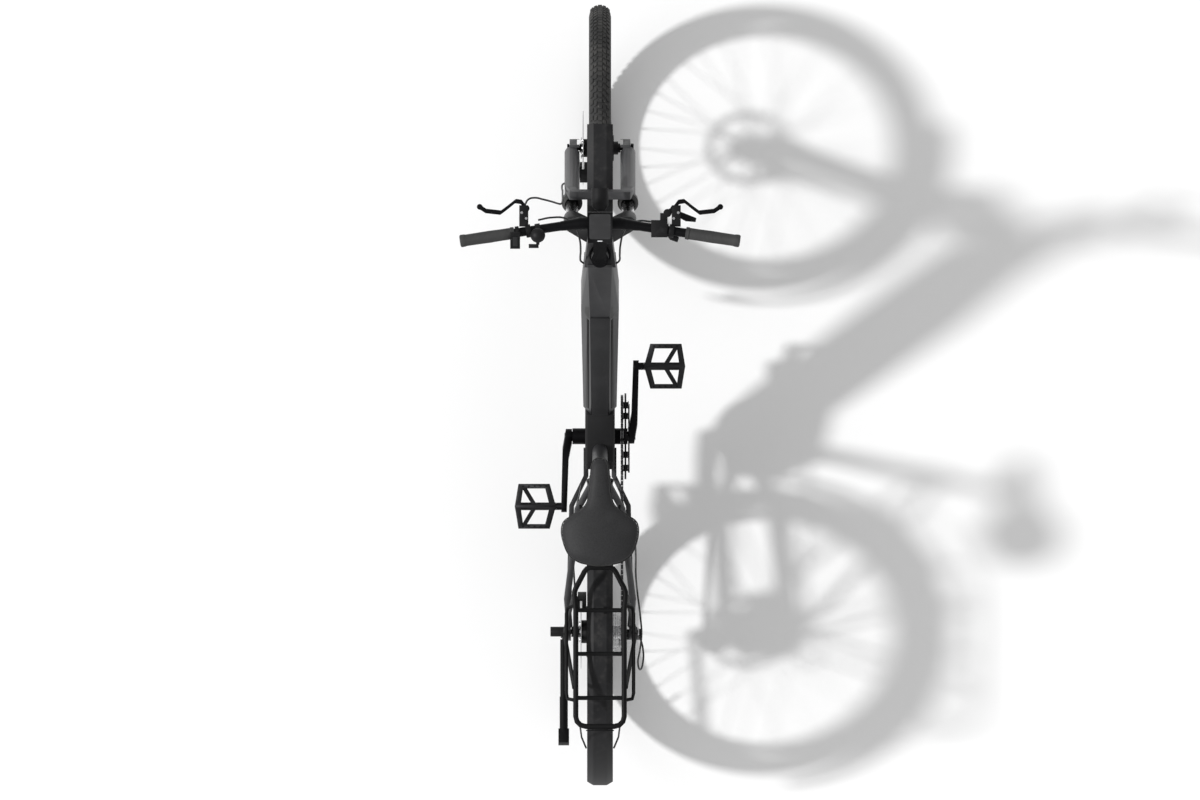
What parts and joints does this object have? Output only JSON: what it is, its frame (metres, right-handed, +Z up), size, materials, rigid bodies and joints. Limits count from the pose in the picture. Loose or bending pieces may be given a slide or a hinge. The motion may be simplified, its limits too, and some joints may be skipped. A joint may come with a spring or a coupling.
{
  "type": "electric city bicycle",
  "caption": "Step-through electric city bicycle with a wide beam frame, suspension fork, mudguards, rear rack and disc brakes.",
  "frame": {"origin": "on the ground, midway between the ends of the bicycle and in its middle plane", "axes": "+Z up, +Y forwards, +X to the rider's right"},
  "size_m": [0.6848, 1.8948, 1.059],
  "materials": {
    "frame_paint": "satin dark grey paint",
    "bare_alloy": "satin",
    "black_alloy": "black anodised",
    "steel": "brushed",
    "chain_steel": "oiled",
    "tyre_rubber": "moulded tread",
    "grip_rubber": "ribbed",
    "cable_skin": "smooth",
    "black_plastic": "fine grain",
    "fender_plastic": "satin",
    "saddle_cover": "fine grain",
    "screen_glass": "gloss",
    "cell_wrap": "shrink wrap"
  },
  "bodies": {
    "frame": {"down_tube": "frame_paint", "head_tube": "frame_paint", "seat_tube": "frame_paint", "bottom_bracket_shell": "frame_paint", "chain_stays": "frame_paint", "seat_stays": "frame_paint", "frame_bearings": "steel", "seat_clamp": "black_alloy", "rear_axle": "black_alloy", "rear_fender": "fender_plastic", "rear_rack": "black_alloy", "rear_caliper": "black_alloy", "chain": "chain_steel", "derailleur": "black_alloy", "rear_cables": "cable_skin"},
    "battery": {"battery_case": "frame_paint", "battery_cells": "cell_wrap"},
    "seat": {"seatpost": "black_alloy", "saddle_rails": "steel", "saddle": "saddle_cover"},
    "kickstand": {"kickstand_leg": "black_alloy"},
    "steering": {"fork_crown": "black_alloy", "stem": "black_alloy", "handlebar": "black_alloy", "display": "screen_glass", "left_grip": "grip_rubber", "right_grip": "grip_rubber", "brake_masters": "black_alloy", "shifter_body": "black_plastic", "control_pad": "black_plastic", "bell": "black_plastic", "headlight": "black_plastic", "bar_cables": "cable_skin"},
    "fork_slider": {"fork_lowers": "frame_paint", "front_fender": "fender_plastic", "front_caliper": "black_alloy", "front_axle": "steel"},
    "front_wheel": {"front_tyre": "tyre_rubber", "front_rim": "black_alloy", "front_spokes": "steel", "front_hub": "black_alloy", "front_disc": "steel"},
    "rear_wheel": {"rear_tyre": "tyre_rubber", "rear_rim": "black_alloy", "rear_spokes": "steel", "rear_hub": "black_alloy", "rear_disc": "steel"},
    "freewheel": {"cassette": "steel"},
    "cranks": {"crankset": "black_alloy", "chainring": "black_alloy"},
    "left_pedal_body": {"left_pedal": "black_plastic"},
    "right_pedal_body": {"right_pedal": "black_plastic"},
    "left_lever": {"left_brake_lever": "black_alloy"},
    "right_lever": {"right_brake_lever": "black_alloy"},
    "thumb_shifter": {"shift_thumb_lever": "black_plastic"},
    "release_shifter": {"shift_release_lever": "black_plastic"},
    "rocker": {"assist_rocker": "black_plastic"},
    "striker": {"bell_striker": "black_plastic"},
    "guide_wheel": {"guide_pulley": "black_plastic"},
    "tension_wheel": {"tension_pulley": "black_plastic"}
  },
  "joints": [
    {"name": "steer", "type": "hinge", "parent": "frame", "child": "steering", "pos_m": [0, 0.37772, 0.80391], "axis": [0, -0.3584, 0.9336], "range_deg": [-50, 50], "deforming": ["bar_cables"]},
    {"name": "fork_slide", "type": "slide", "parent": "steering", "child": "fork_slider", "axis": [0, -0.3584, 0.9336], "range_m": [0, 0.05], "stiffness_N_per_m": 8000, "springref_m": -0.03},
    {"name": "front_wheel_spin", "type": "hinge", "parent": "fork_slider", "child": "front_wheel", "pos_m": [0, 0.602, 0.348], "axis": [1, 0, 0], "continuous": true},
    {"name": "rear_wheel_spin", "type": "hinge", "parent": "frame", "child": "rear_wheel", "pos_m": [0, -0.572, 0.348], "axis": [1, 0, 0], "continuous": true},
    {"name": "crank_spin", "type": "hinge", "parent": "frame", "child": "cranks", "pos_m": [0, -0.0977, 0.294], "axis": [1, 0, 0], "continuous": true},
    {"name": "freewheel_spin", "type": "hinge", "parent": "frame", "child": "freewheel", "pos_m": [0, -0.572, 0.348], "axis": [1, 0, 0], "continuous": true},
    {"name": "guide_pulley_spin", "type": "hinge", "parent": "frame", "child": "guide_wheel", "pos_m": [0.0534, -0.578, 0.247], "axis": [1, 0, 0], "continuous": true},
    {"name": "tension_pulley_spin", "type": "hinge", "parent": "frame", "child": "tension_wheel", "pos_m": [0.0534, -0.599, 0.194], "axis": [1, 0, 0], "continuous": true},
    {"name": "left_pedal_spin", "type": "hinge", "parent": "cranks", "child": "left_pedal_body", "pos_m": [-0.15, -0.2677, 0.294], "axis": [1, 0, 0], "continuous": true},
    {"name": "right_pedal_spin", "type": "hinge", "parent": "cranks", "child": "right_pedal_body", "pos_m": [0.15, 0.0723, 0.294], "axis": [1, 0, 0], "continuous": true},
    {"name": "left_brake_pull", "type": "hinge", "parent": "steering", "child": "left_lever", "pos_m": [-0.179, 0.45515, 1.0072], "axis": [0, 0, 1], "range_deg": [0, 20], "stiffness_Nm_per_rad": 1.5, "springref_deg": -14.32},
    {"name": "right_brake_pull", "type": "hinge", "parent": "steering", "child": "right_lever", "pos_m": [0.179, 0.45515, 1.0072], "axis": [0, 0, -1], "range_deg": [0, 20], "stiffness_Nm_per_rad": 1.5, "springref_deg": -14.32},
    {"name": "thumb_shift", "type": "hinge", "parent": "steering", "child": "thumb_shifter", "pos_m": [0.158, 0.40115, 0.9942], "axis": [0, 0, 1], "range_deg": [0, 20], "stiffness_Nm_per_rad": 0.4, "springref_deg": -11.46},
    {"name": "release_shift", "type": "hinge", "parent": "steering", "child": "release_shifter", "pos_m": [0.172, 0.45015, 0.9912], "axis": [0, 0, -1], "range_deg": [0, 12], "stiffness_Nm_per_rad": 0.4, "springref_deg": -11.46},
    {"name": "assist_press", "type": "hinge", "parent": "steering", "child": "rocker", "pos_m": [-0.206, 0.37705, 1.03395], "axis": [1, 0, 0], "range_deg": [-7, 7], "stiffness_Nm_per_rad": 0.05},
    {"name": "bell_strike", "type": "hinge", "parent": "steering", "child": "striker", "pos_m": [-0.151, 0.37104, 1.02774], "axis": [0, 0, 1], "range_deg": [0, 30], "stiffness_Nm_per_rad": 0.03, "springref_deg": -11.46},
    {"name": "seat_height", "type": "slide", "parent": "frame", "child": "seat", "axis": [0, -0.2385, 0.9711], "range_m": [-0.06, 0.08]},
    {"name": "kickstand_fold", "type": "hinge", "parent": "frame", "child": "kickstand", "pos_m": [-0.081, -0.58, 0.275], "axis": [1, 0, 0], "range_deg": [0, 80]},
    {"name": "battery_tilt", "type": "hinge", "parent": "frame", "child": "battery", "pos_m": [0, -0.046, 0.463], "axis": [1, 0, 0], "range_deg": [0, 25]}
  ],
  "couplings": [
    {"joint": "freewheel_spin", "follows": "crank_spin", "ratio": 3},
    {"joint": "guide_pulley_spin", "follows": "crank_spin", "ratio": -4.3636},
    {"joint": "tension_pulley_spin", "follows": "crank_spin", "ratio": 4.3636}
  ]
}
